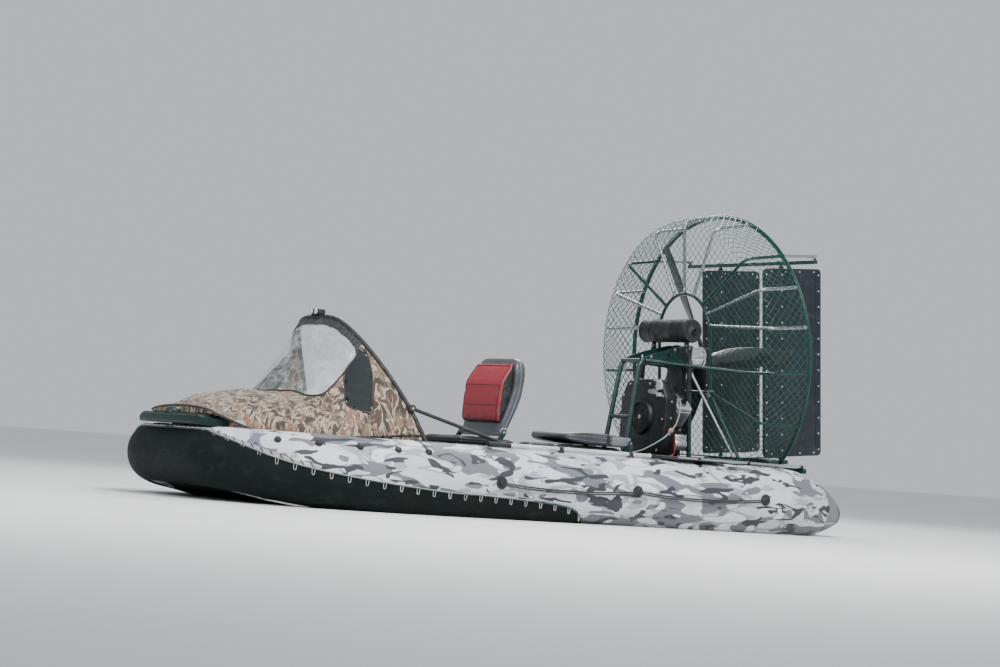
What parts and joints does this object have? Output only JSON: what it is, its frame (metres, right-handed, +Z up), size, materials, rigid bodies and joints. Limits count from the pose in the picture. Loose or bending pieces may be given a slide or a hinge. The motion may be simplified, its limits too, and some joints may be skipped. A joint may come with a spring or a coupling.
{
  "type": "inflatable airboat",
  "caption": "Inflatable airboat with a bow tent, folding seats, a V-twin engine and a caged propeller with rudders at the stern.",
  "frame": {"origin": "the centre of the bounding box at its underside: the flat bottom that the boat stands on", "axes": "+X towards the bow, +Y to port, +Z up"},
  "size_m": [4.4619, 1.984, 2.0229],
  "materials": {
    "camouflage": "light grey coated fabric with a grey camouflage print",
    "black_fabric": "black coated fabric",
    "black": "matt black",
    "green_paint": "dark green paint",
    "aluminium": "satin",
    "steel": "cast and machined metal, grey",
    "black_metal": "black heat-resistant paint",
    "tent_fabric": "brown and beige reed camouflage cloth",
    "clear_film": "milky clear soft film",
    "slate_paint": "dark blue-grey sheet, riveted",
    "board": "dark grey board",
    "red_vinyl": "red padded vinyl",
    "red_plastic": "red moulded tank",
    "clear_hose": "cloudy soft hose",
    "bulb_rubber": "faded red rubber",
    "grey_shell": "grey moulded shell"
  },
  "bodies": {
    "hull": {"port_tube": "camouflage", "starboard_tube": "camouflage", "bow_tube": "camouflage", "bow_cover": "black_fabric", "bottom_skin": "black_fabric", "floor_deck": "board", "transom": "board", "bow_band": "green_paint", "bow_lamp": "black", "base_frame": "green_paint", "stern_beam": "green_paint", "port_rail": "aluminium", "starboard_rail": "aluminium", "engine_frame": "green_paint", "shaft_carrier": "green_paint", "bearing_housing": "aluminium", "belt_case": "slate_paint", "crankcase": "black_metal", "cooling_shroud": "black_metal", "port_cylinder": "steel", "starboard_cylinder": "steel", "carburettor": "aluminium", "starter_motor": "steel", "muffler": "black_metal", "cage_front": "green_paint", "cage_ring": "green_paint", "rudder_carrier": "green_paint", "net_face_port": "green_paint", "net_face_starboard": "green_paint", "net_face_top": "green_paint", "net_side_port": "green_paint", "net_side_top": "green_paint", "net_side_starboard": "green_paint", "port_mast_brace": "aluminium", "starboard_mast_brace": "aluminium", "driver_seat_box": "board", "driver_seat_cushion": "black", "rear_seat_box": "board", "rear_seat_cushion": "black", "steering_column": "slate_paint", "tent_cover": "tent_fabric", "tent_window": "clear_film", "tent_hoop": "black", "port_tent_brace": "black", "starboard_tent_brace": "black", "port_oar": "aluminium", "starboard_oar": "aluminium", "port_grab_line": "black", "starboard_grab_line": "black", "fuel_tank": "red_plastic", "fuel_line": "clear_hose", "primer_bulb": "bulb_rubber"},
    "propeller": {"propeller": "black"},
    "port_rudder": {"port_rudder": "slate_paint"},
    "starboard_rudder": {"starboard_rudder": "slate_paint"},
    "steering_wheel": {"steering_wheel": "black"},
    "driver_seat_back": {"driver_seat_back": "grey_shell", "driver_seat_pad": "red_vinyl"},
    "rear_seat_back": {"rear_seat_back": "grey_shell"}
  },
  "joints": [
    {"name": "propeller_spin", "type": "hinge", "parent": "hull", "child": "propeller", "pos_m": [-1.599, 0, 1.116], "axis": [0.9962, 0, -0.0872], "continuous": true},
    {"name": "port_rudder_hinge", "type": "hinge", "parent": "hull", "child": "port_rudder", "pos_m": [-1.86, 0.3, 1.13884], "axis": [0.0872, 0, 0.9962], "range_deg": [-30, 30]},
    {"name": "starboard_rudder_hinge", "type": "hinge", "parent": "hull", "child": "starboard_rudder", "pos_m": [-1.86, -0.3, 1.13884], "axis": [0.0872, 0, 0.9962], "range_deg": [-30, 30]},
    {"name": "steering_wheel_spin", "type": "hinge", "parent": "hull", "child": "steering_wheel", "pos_m": [0.8, 0, 0.64], "axis": [-0.5098, 0, 0.8603], "range_deg": [-120, 120]},
    {"name": "driver_seat_back_hinge", "type": "hinge", "parent": "hull", "child": "driver_seat_back", "pos_m": [0.138, 0, 0.531], "axis": [0, 1, 0], "range_deg": [0, 88]},
    {"name": "rear_seat_back_hinge", "type": "hinge", "parent": "hull", "child": "rear_seat_back", "pos_m": [-0.786, 0, 0.524], "axis": [0, -1, 0], "range_deg": [0, 95]}
  ],
  "couplings": [
    {"joint": "starboard_rudder_hinge", "follows": "port_rudder_hinge", "ratio": 1},
    {"joint": "steering_wheel_spin", "follows": "port_rudder_hinge", "ratio": -4}
  ]
}
